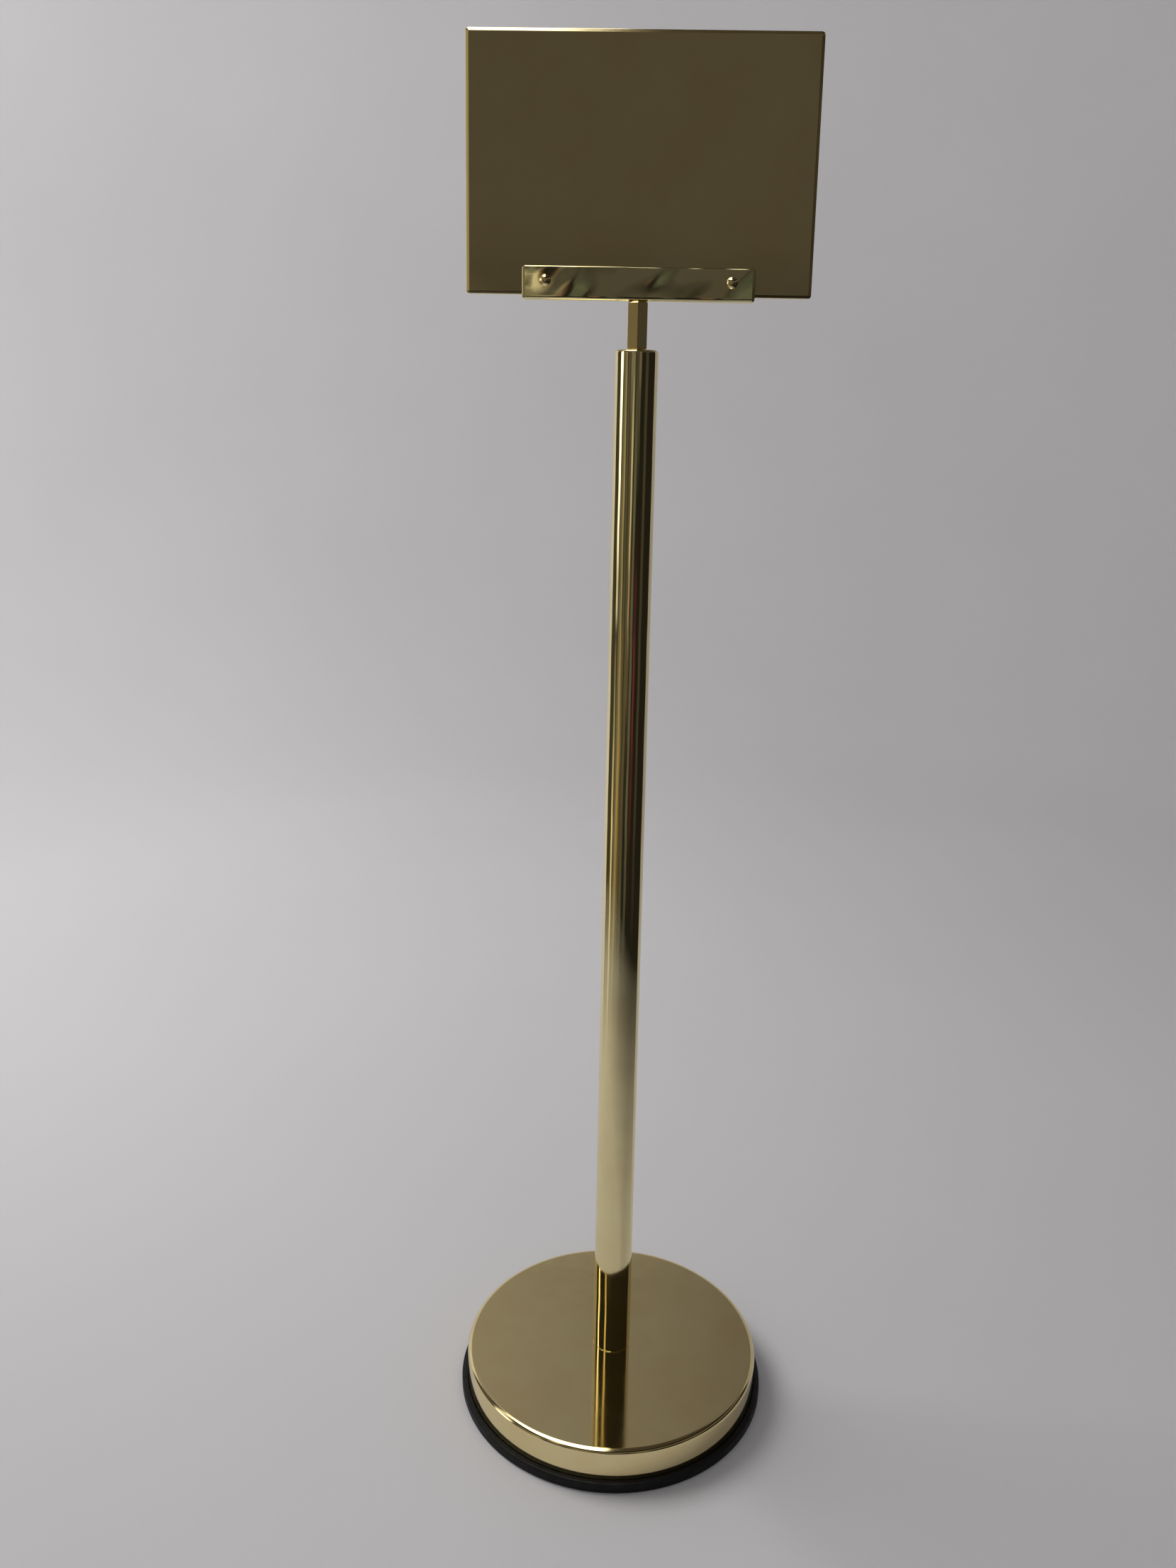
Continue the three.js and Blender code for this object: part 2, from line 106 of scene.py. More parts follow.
def mesh_object(name, points, faces, sharp_degrees):
    """A smooth-shaded object whose edges sharper than the limit stay crisp."""
    mesh = bpy.data.meshes.new(name)
    mesh.from_pydata([tuple(p) for p in points], [], faces)
    mesh.validate()
    mesh.shade_smooth()
    mesh.set_sharp_from_angle(angle=math.radians(sharp_degrees))
    piece = bpy.data.objects.new(name, mesh)
    bpy.context.scene.collection.objects.link(piece)
    return piece


def loft(name, rings, caps=True, closed=False, sharp_degrees=35):
    """A skin through rings of equally many points. Rings run so that the faces point out."""
    count = len(rings[0])
    points = [p for ring in rings for p in ring]
    faces = []
    spans = len(rings) if closed else len(rings) - 1
    for k in range(spans):
        here = k * count
        there = ((k + 1) % len(rings)) * count
        for i in range(count):
            j = (i + 1) % count
            faces.append((here + i, here + j, there + j, there + i))
    if caps and not closed:
        faces.append(tuple(reversed(range(count))))
        last = (len(rings) - 1) * count
        faces.append(tuple(range(last, last + count)))
    return mesh_object(name, points, faces, sharp_degrees)


def arc(centre_r, centre_z, radius, start, end, steps):
    """Points of an arc in a profile of radius and height, angles in degrees."""
    out = []
    for i in range(steps + 1):
        angle = math.radians(start + (end - start) * i / steps)
        out.append((centre_r + radius * math.cos(angle), centre_z + radius * math.sin(angle)))
    return out


def circle(radius, z, count):
    angles = [2 * math.pi * i / count for i in range(count)]
    return [(radius * math.cos(a), radius * math.sin(a), z) for a in angles]


def with_supports(profile, reach=0.35 * MM):
    """Adds points near both ends of each long straight stretch, so that flat faces shade flat."""
    out = []
    for (r0, z0), (r1, z1) in zip(profile, profile[1:]):
        out.append((r0, z0))
        length = math.hypot(r1 - r0, z1 - z0)
        if length > 4 * reach:
            for share in (reach / length, 1 - reach / length):
                out.append((r0 + (r1 - r0) * share, z0 + (z1 - z0) * share))
    out.append(profile[-1])
    return out


def turned(name, profile, count, closed=False):
    """A solid of revolution about Z, from a profile that runs up the outside."""
    rows = with_supports(profile + profile[:1])[:-1] if closed else with_supports(profile)
    rings = [circle(max(r, ON_AXIS), z, count) for r, z in rows]
    return loft(name, rings, caps=not closed, closed=closed)


def lay_forward(piece, x, z):
    """Turns a piece made about Z so that its +Z points to the front, and places its axis."""
    upright_to_front = Matrix.Rotation(math.radians(90), 4, "X")
    piece.data.transform(Matrix.Translation((x, 0, z)) @ upright_to_front)
    return piece


def outline(corners, steps=6):
    """An anticlockwise outline. A corner is (x, y, radius), and becomes an arc if it has a radius."""
    out = []
    count = len(corners)
    for i, (x, y, radius) in enumerate(corners):
        corner = Vector((x, y))
        if radius == 0:
            out.append((x, y))
            continue
        before = (Vector(corners[i - 1][:2]) - corner).normalized()
        after = (Vector(corners[(i + 1) % count][:2]) - corner).normalized()
        half = before.angle(after) / 2
        centre = corner + (before + after).normalized() * (radius / math.sin(half))
        start = corner + before * (radius / math.tan(half)) - centre
        end = corner + after * (radius / math.tan(half)) - centre
        turn = math.atan2(start.x * end.y - start.y * end.x, start.dot(end))
        for k in range(steps + 1):
            cos, sin = math.cos(turn * k / steps), math.sin(turn * k / steps)
            out.append((centre.x + start.x * cos - start.y * sin, centre.y + start.x * sin + start.y * cos))
    return out


def buffed_bevel(width, depth, soft=0.9 * MM, steps=5):
    """A bevel with both its edges rounded off: (distance in from the edge, distance back from the face)."""
    line = [(0, 2 * depth, 0), (0, depth, soft), (width, 0, soft), (2 * width, 0, 0)]
    return outline(line, steps)[1:-1]


def at_height(points, z):
    return [(x, y, z) for x, y in points]


def circle_like(points, radius, z):
    """A circle whose points lie in the same directions as those of an outline."""
    angles = [math.atan2(y, x) for x, y in points]
    return [(radius * math.cos(a), radius * math.sin(a), z) for a in angles]


def hexagon(flats, radius=0.35 * MM, steps=4):
    """A hexagonal outline with one corner to the front and slightly rounded corners."""
    reach = flats / math.sqrt(3)
    angles = [-math.pi / 2 + i * math.pi / 3 for i in range(6)]
    return outline([(reach * math.cos(a), reach * math.sin(a), radius) for a in angles], steps)


def flat_shading(piece, keep_sharp=True):
    """Keeps flat faces flat next to small roundings."""
    weighted = piece.modifiers.new("normals", "WEIGHTED_NORMAL")
    weighted.keep_sharp = keep_sharp
    return piece


def cut_and_bevel(piece, cutters, width, segments=3, limit_degrees=40):
    """Cuts round holes, then softens the sharp edges, and bakes both into the mesh."""
    for cutter in cutters:
        cut = piece.modifiers.new("cut", "BOOLEAN")
        cut.operation = "DIFFERENCE"
        cut.solver = "EXACT"
        cut.object = cutter
    bevel = piece.modifiers.new("bevel", "BEVEL")
    bevel.width = width
    bevel.segments = segments
    bevel.limit_method = "ANGLE"
    bevel.angle_limit = math.radians(limit_degrees)
    flat_shading(piece, keep_sharp=False)
    bpy.context.view_layer.update()
    graph = bpy.context.evaluated_depsgraph_get()
    baked = bpy.data.meshes.new_from_object(piece.evaluated_get(graph), depsgraph=graph)
    piece.modifiers.clear()
    piece.data = baked
    for cutter in cutters:
        bpy.data.objects.remove(cutter)


def round_cutter(radius, low, high):
    return turned("cutter", [(radius, low), (radius, high)], 48)


def screw_hole_cutters():
    """Cutters along Y through the bracket and the plate."""
    reach = 40 * MM
    return [lay_forward(round_cutter(SCREW_HOLE, -reach, reach), x, SCREW_Z) for x in SCREW_XS]


# ---------------------------------------------------------------- material helpers

class Net:
    """Short ways to add nodes to a tree."""

    def __init__(self, tree):
        self.tree = tree

    def node(self, kind, **settings):
        node = self.tree.nodes.new(kind)
        for key, value in settings.items():
            setattr(node, key, value)
        return node

    def link(self, source, target):
        self.tree.links.new(source, target)

    def feed(self, target, value):
        """Sets an input to a number or a colour, or links another node's output to it."""
        if isinstance(value, (int, float, tuple)):
            target.default_value = value
        else:
            self.link(value, target)

    def math(self, operation, a, b=0.0):
        node = self.node("ShaderNodeMath", operation=operation)
        self.feed(node.inputs[0], a)
        self.feed(node.inputs[1], b)
        return node.outputs[0]

    def place(self):
        return self.node("ShaderNodeTexCoord").outputs["Object"]

    def scaled(self, vector, scale):
        node = self.node("ShaderNodeVectorMath", operation="MULTIPLY")
        self.link(vector, node.inputs[0])
        node.inputs[1].default_value = scale
        return node.outputs[0]

    def noise(self, vector, scale, detail, roughness):
        node = self.node("ShaderNodeTexNoise")
        self.link(vector, node.inputs["Vector"])
        node.inputs["Scale"].default_value = scale
        node.inputs["Detail"].default_value = detail
        node.inputs["Roughness"].default_value = roughness
        return node.outputs["Fac"]

    def remap(self, value, from_low, from_high, to_low, to_high):
        node = self.node("ShaderNodeMapRange", clamp=True)
        self.link(value, node.inputs["Value"])
        node.inputs["From Min"].default_value = from_low
        node.inputs["From Max"].default_value = from_high
        node.inputs["To Min"].default_value = to_low
        node.inputs["To Max"].default_value = to_high
        return node.outputs["Result"]

    def within(self, value, low, high, soft):
        """1 between the two limits and 0 outside them, with soft ends."""
        share = self.remap(value, low - soft, low + soft, 0.0, 1.0)
        return self.math("MULTIPLY", share, self.remap(value, high - soft, high + soft, 1.0, 0.0))

    def parts(self, vector):
        """The X, Y and Z of a vector."""
        node = self.node("ShaderNodeSeparateXYZ")
        self.link(vector, node.inputs[0])
        return node.outputs

    def round_from_front(self, x, y):
        """Degrees round from the front, positive to the right."""
        angle = self.math("ARCTAN2", x, self.math("MULTIPLY", y, -1.0))
        return self.math("MULTIPLY", angle, 180 / math.pi)

    def mix(self, share, first, second):
        node = self.node("ShaderNodeMix", data_type="RGBA")
        self.link(share, node.inputs["Factor"])
        self.feed(node.inputs["A"], first)
        self.feed(node.inputs["B"], second)
        return node.outputs["Result"]

    def bump(self, height, strength, distance, normal=None):
        node = self.node("ShaderNodeBump")
        self.link(height, node.inputs["Height"])
        self.feed(node.inputs["Strength"], strength)
        node.inputs["Distance"].default_value = distance
        if normal is not None:
            self.link(normal, node.inputs["Normal"])
        return node.outputs["Normal"]

    def mirrored_instead(self, plain, mirrored, share=1.0):
        """A shader that the metal sees as another one, as far as the share says."""
        glossy = self.node("ShaderNodeLightPath").outputs["Is Glossy Ray"]
        choose = self.node("ShaderNodeMixShader")
        self.link(self.math("MULTIPLY", glossy, share), choose.inputs["Fac"])
        self.link(plain, choose.inputs[1])
        self.link(mirrored, choose.inputs[2])
        return choose.outputs[0]


def new_material(name):
    """A material with only a shader and an output, and the net to add to them."""
    material = bpy.data.materials.new(name)
    material.use_nodes = True
    material.node_tree.nodes.clear()
    net = Net(material.node_tree)
    shader = net.node("ShaderNodeBsdfPrincipled")
    net.link(shader.outputs["BSDF"], net.node("ShaderNodeOutputMaterial").inputs["Surface"])
    return material, net, shader


# ---------------------------------------------------------------- finishes

def polishing_lines(net, place, run):
    """Fine noise drawn out along the way that the piece was polished: around it, up it or along X."""
    if run == "around":
        from_axis = net.node("ShaderNodeVectorMath", operation="LENGTH")
        net.link(net.scaled(place, (1.0, 1.0, 0.0)), from_axis.inputs[0])
        section = net.node("ShaderNodeCombineXYZ")
        net.link(from_axis.outputs["Value"], section.inputs["X"])
        net.link(net.parts(place)["Z"], section.inputs["Z"])
        drawn_out = section.outputs[0]
    else:
        drawn_out = net.scaled(place, {"up": (1.0, 1.0, 0.01), "along": (0.01, 1.0, 1.0)}[run])
    return net.noise(drawn_out, 700.0, 3.0, 0.65)


def on_flat_face(net):
    """1 on the broad faces that look along Y, and 0 on the rounded edges beside them."""
    normal = net.node("ShaderNodeTexCoord").outputs["Normal"]
    return net.remap(net.math("ABSOLUTE", net.parts(normal)["Y"]), 0.86, 0.91, 0.0, 1.0)


def brass(name, run, roughness, ripple, lines, tint=(0.90, 0.765, 0.425), haze=0.05, flat_only=False):
    """Polished brass: slow ripples in the sheet, fine polishing lines, faint smears and tarnish.

    A ripple is its length, its height and its slant in degrees. Lines is the depth of the polishing
    lines, haze is what a smear adds to the roughness, and flat_only keeps ripples off rounded edges.
    """
    material, net, shader = new_material(name)
    place = net.place()

    tarnish = net.remap(net.noise(place, 14.0, 4.0, 0.6), 0.42, 0.72, 0.0, 0.6)
    dull = tuple(c * k for c, k in zip(tint, (0.90, 0.83, 0.74)))
    net.link(net.mix(tarnish, (*tint, 1), (*dull, 1)), shader.inputs["Base Color"])
    shader.inputs["Metallic"].default_value = 1.0

    smears = net.remap(net.noise(place, 22.0, 5.0, 0.62), 0.5, 0.8, 0.0, haze)
    speckle = net.remap(net.noise(place, 900.0, 2.0, 0.5), 0.35, 0.75, 0.0, 0.02)
    net.link(net.math("ADD", net.math("ADD", smears, speckle), roughness), shader.inputs["Roughness"])

    ripple_length, ripple_height, slant = ripple
    slanted = net.node("ShaderNodeVectorRotate", rotation_type="Y_AXIS")
    net.link(place, slanted.inputs["Vector"])
    slanted.inputs["Angle"].default_value = math.radians(slant)
    waves = net.noise(net.scaled(slanted.outputs[0], (1.0, 1.0, 0.55)), 1.0 / ripple_length, 1.0, 0.4)
    ripples = net.bump(waves, on_flat_face(net) if flat_only else 1.0, ripple_height)
    net.link(net.bump(polishing_lines(net, place, run), 1.0, lines, ripples), shader.inputs["Normal"])
    return material


def rubber(name):
    """Moulded black rubber with a fine grain and grey scuffs."""
    material, net, shader = new_material(name)
    place = net.place()
    scuffs = net.remap(net.noise(net.scaled(place, (1.0, 1.0, 3.0)), 60.0, 6.0, 0.7), 0.55, 0.8, 0.0, 1.0)
    black = (0.0035, 0.0035, 0.004, 1)
    grey = (0.012, 0.012, 0.012, 1)
    net.link(net.mix(scuffs, black, grey), shader.inputs["Base Color"])
    net.link(net.remap(net.noise(place, 90.0, 4.0, 0.6), 0.3, 0.7, 0.42, 0.66), shader.inputs["Roughness"])
    shader.inputs["Specular IOR Level"].default_value = 0.25
    grain = net.bump(net.noise(place, 2600.0, 3.0, 0.6), 0.25, 0.06 * MM)
    net.link(net.bump(scuffs, 0.2, 0.1 * MM, grain), shader.inputs["Normal"])
    return material


def felt(name):
    """Dark green needled felt."""
    material, net, shader = new_material(name)
    place = net.place()
    fibres = net.noise(place, 1500.0, 6.0, 0.75)
    clouds = net.noise(place, 40.0, 3.0, 0.6)
    share = net.math("MULTIPLY", net.math("ADD", fibres, clouds), 0.5)
    net.link(net.mix(share, (0.012, 0.035, 0.022, 1), (0.05, 0.12, 0.08, 1)), shader.inputs["Base Color"])
    shader.inputs["Roughness"].default_value = 0.95
    shader.inputs["Sheen Weight"].default_value = 0.4
    shader.inputs["Sheen Roughness"].default_value = 0.5
    net.link(net.bump(fibres, 0.8, 0.4 * MM), shader.inputs["Normal"])
    return material


def cast_iron(name):
    """A sand casting under black primer, with rust coming through."""
    material, net, shader = new_material(name)
    place = net.place()
    sand = net.noise(place, 420.0, 5.0, 0.65)
    rust = net.remap(net.noise(place, 30.0, 5.0, 0.65), 0.55, 0.75, 0.0, 0.8)
    net.link(net.mix(rust, (0.022, 0.022, 0.024, 1), (0.10, 0.045, 0.022, 1)), shader.inputs["Base Color"])
    shader.inputs["Metallic"].default_value = 0.3
    net.link(net.remap(sand, 0.3, 0.7, 0.6, 0.9), shader.inputs["Roughness"])
    net.link(net.bump(sand, 0.7, 0.6 * MM), shader.inputs["Normal"])
    return material


def zinc_steel(name):
    """Zinc-plated steel with a mottled grey sheen."""
    material, net, shader = new_material(name)
    place = net.place()
    spangle = net.noise(place, 260.0, 3.0, 0.6)
    net.link(net.mix(spangle, (0.42, 0.43, 0.44, 1), (0.68, 0.69, 0.70, 1)), shader.inputs["Base Color"])
    shader.inputs["Metallic"].default_value = 1.0
    net.link(net.remap(spangle, 0.3, 0.7, 0.28, 0.5), shader.inputs["Roughness"])
    net.link(net.bump(net.noise(place, 1800.0, 3.0, 0.5), 0.2, 0.05 * MM), shader.inputs["Normal"])
    return material


BASE_BRASS = brass(
    "base_brass",
    run="around",
    roughness=0.065,
    ripple=(150 * MM, 0.35 * MM, 35),
    lines=0.006 * MM,
)
POST_BRASS = brass(
    "post_brass",
    run="up",
    roughness=0.045,
    ripple=(60 * MM, 1.2 * MM, 35),
    lines=0.020 * MM,
    tint=(0.88, 0.775, 0.45),
)
HEAD_BRASS = brass(
    "head_brass",
    run="along",
    roughness=0.045,
    ripple=(45 * MM, 11 * MM, -50),
    lines=0.008 * MM,
    tint=(0.87, 0.79, 0.46),
    flat_only=True,
)
PLATE_BRASS = brass(
    "plate_brass",
    run="along",
    roughness=0.06,
    ripple=(120 * MM, 0.6 * MM, 35),
    lines=0.006 * MM,
    tint=(0.87, 0.745, 0.42),
)
FITTING_BRASS = brass(
    "fitting_brass",
    run="up",
    roughness=0.05,
    ripple=(30 * MM, 0.05 * MM, 35),
    lines=0.004 * MM,
)
TURNED_BRASS = brass(
    "turned_brass",
    run="around",
    roughness=0.22,
    ripple=(50 * MM, 0.05 * MM, 35),
    lines=0.03 * MM,
    tint=(0.80, 0.64, 0.32),
    haze=0.08,
)
BLACK_RUBBER = rubber("black_rubber")
PAD_FELT = felt("pad_felt")
IRON = cast_iron("iron")
STEEL = zinc_steel("steel")


def dress(piece, material, body, slot, *nodes):
    """Gives a piece its finish, its body and the CAD nodes it stands for. The slot is not used."""
    piece.data.materials.clear()
    piece.data.materials.append(material)
    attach(piece, body)
    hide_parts(*nodes)


# ---------------------------------------------------------------- base

def rubber_ring():
    """A ring round the cover with a foot that reaches under it."""
    inner = RING_RADIUS - RING_WALL
    top = ring_high.z
    foot_end = inner - RING_FOOT_WIDTH
    foot_bevel = 0.4 * MM
    lip = 0.6 * MM
    profile = [
        (foot_end, foot_bevel),
        (foot_end + foot_bevel, 0.0),
        *arc(RING_RADIUS - RING_EDGE, RING_EDGE, RING_EDGE, -90, 0, 8),
        *arc(RING_RADIUS - RING_EDGE, top - RING_EDGE, RING_EDGE, 0, 90, 8),
        *arc(inner + lip, top - lip, lip, 90, 180, 4),
        (inner, RING_FOOT_HEIGHT),
        (foot_end, RING_FOOT_HEIGHT),
    ]
    piece = turned("rubber_ring", profile, 224, closed=True)
    dress(piece, BLACK_RUBBER, "stand", "black_rubber", "base_rubber_ring")


def cover():
    """A spun brass pan, upside down, with a rounded edge and a rounded rim."""
    top = cover_high.z
    bottom = cover_low.z
    inside = COVER_RADIUS - COVER_SHEET
    inner_edge = COVER_EDGE - COVER_SHEET
    rim = 0.7 * MM
    profile = [
        *arc(COVER_RADIUS - rim, bottom + rim, rim, -90, 0, 5),
        *arc(COVER_RADIUS - COVER_EDGE, top - COVER_EDGE, COVER_EDGE, 0, 90, 18),
        (SPIGOT_HOLE, top),
        (SPIGOT_HOLE, top - COVER_SHEET),
        *arc(inside - inner_edge, top - COVER_SHEET - inner_edge, inner_edge, 90, 0, 8),
        (inside, bottom),
    ]
    piece = turned("brass_cover", profile, 288, closed=True)
    dress(piece, BASE_BRASS, "stand", "polished_brass", "base_cover")


def felt_pad():
    """A flat disc of felt under the weight."""
    radius = pad_high.x
    top = pad_high.z
    edge = 0.8 * MM
    profile = [
        (0.0, 0.0),
        *arc(radius - edge, edge, edge, -90, 0, 4),
        *arc(radius - edge, top - edge, edge, 0, 90, 4),
        (0.0, top),
    ]
    piece = turned("felt_pad", profile, 160)
    dress(piece, PAD_FELT, "stand", "felt", "base_felt_pad")


# ---------------------------------------------------------------- post

def post():
    """A plain round tube."""
    bottom = tube_low.z
    top = plug_high.z - PLUG_FLANGE - SEAM
    bore = TUBE_RADIUS - TUBE_WALL
    edge = 0.5 * MM
    profile = [
        *arc(TUBE_RADIUS - edge, bottom + edge, edge, -90, 0, 5),
        (TUBE_RADIUS, top),
        (bore, top),
        (bore, bottom),
    ]
    piece = turned("post", profile, 160, closed=True)
    dress(piece, POST_BRASS, "stand", "polished_brass", "post_tube")


def top_plug():
    """The plug that closes the tube, drilled for the tie rod below and for the neck's stud above."""
    top = plug_high.z
    under_flange = top - PLUG_FLANGE
    spigot = TUBE_RADIUS - TUBE_WALL - GAP
    rod_bore = rod_high.x + GAP
    rod_end = rod_high.z + DRILL_SPARE
    stud_bore = stud_high.x + GAP
    stud_end = stud_low.z - GAP
    seat = wave_high.x + GAP
    seat_floor = wave_low.z - GAP
    profile = [
        (0.0, rod_end),
        (rod_bore, rod_end),
        (rod_bore, plug_low.z),
        (spigot, plug_low.z),
        (spigot, under_flange),
        (TUBE_RADIUS, under_flange),
        *arc(TUBE_RADIUS - PLUG_EDGE, top - PLUG_EDGE, PLUG_EDGE, 0, 90, 12),
        (seat, top),
        (seat, seat_floor),
        (stud_bore, seat_floor),
        (stud_bore, stud_end),
        (0.0, stud_end),
    ]
    piece = turned("top_plug", profile, 160)
    dress(piece, POST_BRASS, "stand", "polished_brass", "tube_top_plug")


# ---------------------------------------------------------------- head

def neck():
    """A short hexagonal bar, chamfered and drilled at both ends."""
    soft = 0.15 * MM                     # rounding of the chamfers' edges
    bottom = plug_high.z + NECK_SEAM
    top = bracket_low.z - NECK_SEAM
    side = hexagon(NECK_FLATS)
    near_side = hexagon(NECK_FLATS - 2 * soft)
    near_end = hexagon(NECK_FLATS - 2 * NECK_CHAMFER + 2 * soft)
    end = hexagon(NECK_FLATS - 2 * NECK_CHAMFER)
    low_bore = stud_high.x + GAP
    low_bore_end = stud_high.z + DRILL_SPARE
    high_bore = bracket_stud_high.x + GAP
    high_bore_end = bracket_stud_low.z - DRILL_SPARE
    rings = [
        circle_like(side, ON_AXIS, low_bore_end),
        circle_like(side, low_bore, low_bore_end),
        circle_like(side, low_bore, bottom),
        at_height(end, bottom),
        at_height(near_end, bottom + soft),
        at_height(near_side, bottom + NECK_CHAMFER - soft),
        at_height(side, bottom + NECK_CHAMFER + soft),
        at_height(side, top - NECK_CHAMFER - soft),
        at_height(near_side, top - NECK_CHAMFER + soft),
        at_height(near_end, top - soft),
        at_height(end, top),
        circle_like(side, high_bore, top),
        circle_like(side, high_bore, high_bore_end),
        circle_like(side, ON_AXIS, high_bore_end),
    ]
    piece = flat_shading(loft("neck", rings, sharp_degrees=30))
    dress(piece, FITTING_BRASS, "head", "polished_brass", "neck_spacer")


def bracket_section(inset):
    """The channel's section, with its outside drawn in by the inset. Its axes are Y and the height."""
    half = bracket_high.y - inset
    slot = bracket_high.y - BRACKET_WALL
    top = bracket_high.z - bracket_low.z - inset
    lip = 0.45 * (half - slot)
    root = 0.6 * MM
    return outline([
        (-half, inset, BRACKET_BEND),
        (half, inset, BRACKET_BEND),
        (half, top, lip),
        (slot, top, lip / 4),
        (slot, BRACKET_FLOOR, root),
        (-slot, BRACKET_FLOOR, root),
        (-slot, top, lip / 4),
        (-half, top, lip),
    ], 10)


def bracket():
    """A channel along X with buffed ends, two screw holes and a hole for the stud in its floor."""
    ends = [(reach, bracket_section(inset)) for reach, inset in buffed_bevel(*BRACKET_END)]
    rings = [at_height(section, bracket_low.x + reach) for reach, section in ends]
    rings += [at_height(section, bracket_high.x - reach) for reach, section in reversed(ends)]
    piece = loft("bracket", rings)
    # the section's own axes become Y and Z, and its height runs along X
    turn = Matrix(((0, 0, 1, 0), (1, 0, 0, 0), (0, 1, 0, 0), (0, 0, 0, 1)))
    piece.data.transform(Matrix.Translation((0, 0, bracket_low.z)) @ turn)
    stud_hole = bracket_stud_high.x + GAP
    through_floor = round_cutter(stud_hole, bracket_low.z - MM, bracket_low.z + BRACKET_FLOOR + MM)
    cut_and_bevel(piece, [*screw_hole_cutters(), through_floor], 0.3 * MM)
    dress(piece, HEAD_BRASS, "head", "polished_brass", "bracket_channel")


def sign_plate():
    """A blank plate with rounded corners and a buffed bevel round both faces."""
    width = plate_high.x - plate_low.x
    height = plate_high.z - plate_low.z
    half = (plate_high.y - plate_low.y) / 2
    edge = buffed_bevel(*PLATE_EDGE)
    back_levels = [(inset, back - half) for inset, back in reversed(edge)]
    front_levels = [(inset, half - back) for inset, back in edge]
    rings = []
    for inset, depth in back_levels + front_levels:
        corner = max(PLATE_CORNER - inset, 0.5 * MM)
        x, y = width / 2 - inset, height / 2 - inset
        ring = outline([(-x, -y, corner), (x, -y, corner), (x, y, corner), (-x, y, corner)], 8)
        rings.append(at_height(ring, depth))
    piece = loft("sign_plate", rings)
    middle = (plate_low + plate_high) / 2
    lay_forward(piece, middle.x, middle.z)
    cut_and_bevel(piece, screw_hole_cutters(), 0.15 * MM, 2, 60)
    dress(piece, PLATE_BRASS, "head", "sign_brass", "sign_panel")


# ---------------------------------------------------------------- screws

def threaded(name, low, high):
    """A shank with a helical thread over its whole length and a chamfer at each end."""
    per_turn = 24
    rows_per_pitch = 6
    depth = SHANK_RADIUS - THREAD_CORE
    rows = round((high - low) / THREAD_PITCH * rows_per_pitch)
    rings = []
    for k in range(rows + 1):
        z = low + (high - low) * k / rows
        to_end = min(z - low, high - z)
        chamfer = max(THREAD_CORE - 0.3 * THREAD_PITCH + to_end, 0.8 * THREAD_CORE)
        ring = []
        for i in range(per_turn):
            share = (z / THREAD_PITCH - i / per_turn) % 1.0
            crest = THREAD_CORE + depth * (1 - abs(2 * share - 1))
            angle = 2 * math.pi * i / per_turn
            r = min(crest, chamfer)
            ring.append((r * math.cos(angle), r * math.sin(angle), z))
        rings.append(ring)
    return loft(name, rings, sharp_degrees=50)


def dome_screw(side, x):
    """A low dome on the bracket's face, and a threaded shank that runs through to the back."""
    low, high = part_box("dome_screw_" + side)
    face = -bracket_low.y
    seat = face + SEAM
    thread_end = seat - 0.5 * MM
    rim = 0.35 * MM
    rim_bevel = 0.15 * MM
    rise = -low.y - (face + GAP)
    cap = rise - rim                     # the dome above its upright rim
    radius = (DOME_RADIUS ** 2 + cap ** 2) / (2 * cap)
    rim_angle = math.degrees(math.asin((radius - cap) / radius))
    profile = [
        (SHANK_RADIUS, thread_end),
        (SHANK_RADIUS, seat),
        (DOME_RADIUS - rim_bevel, seat),
        (DOME_RADIUS, seat + rim_bevel),
        *arc(0, seat + rise - radius, radius, rim_angle, 90, 14),
    ]
    head = turned("dome_screw_head_" + side, profile, 96)
    thread = threaded("dome_screw_thread_" + side, -high.y, thread_end)
    for piece in (head, thread):
        lay_forward(piece, x, SCREW_Z)
        dress(piece, FITTING_BRASS, "head", "polished_brass", "dome_screw_" + side)


def back_washer(side, x):
    """A washer behind the bracket. Returns where its back face is."""
    low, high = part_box("back_washer_" + side)
    radius = (high.x - low.x) / 2
    front = -(bracket_high.y + SEAM)
    back = front - (high.y - low.y)
    edge = 0.2 * MM
    profile = [
        *arc(radius - edge, back + edge, edge, -90, 0, 3),
        *arc(radius - edge, front - edge, edge, 0, 90, 3),
        (SCREW_HOLE, front),
        (SCREW_HOLE, back),
    ]
    piece = lay_forward(turned("washer_" + side, profile, 64, closed=True), x, SCREW_Z)
    dress(piece, FITTING_BRASS, "head", "polished_brass", "back_washer_" + side)
    return back


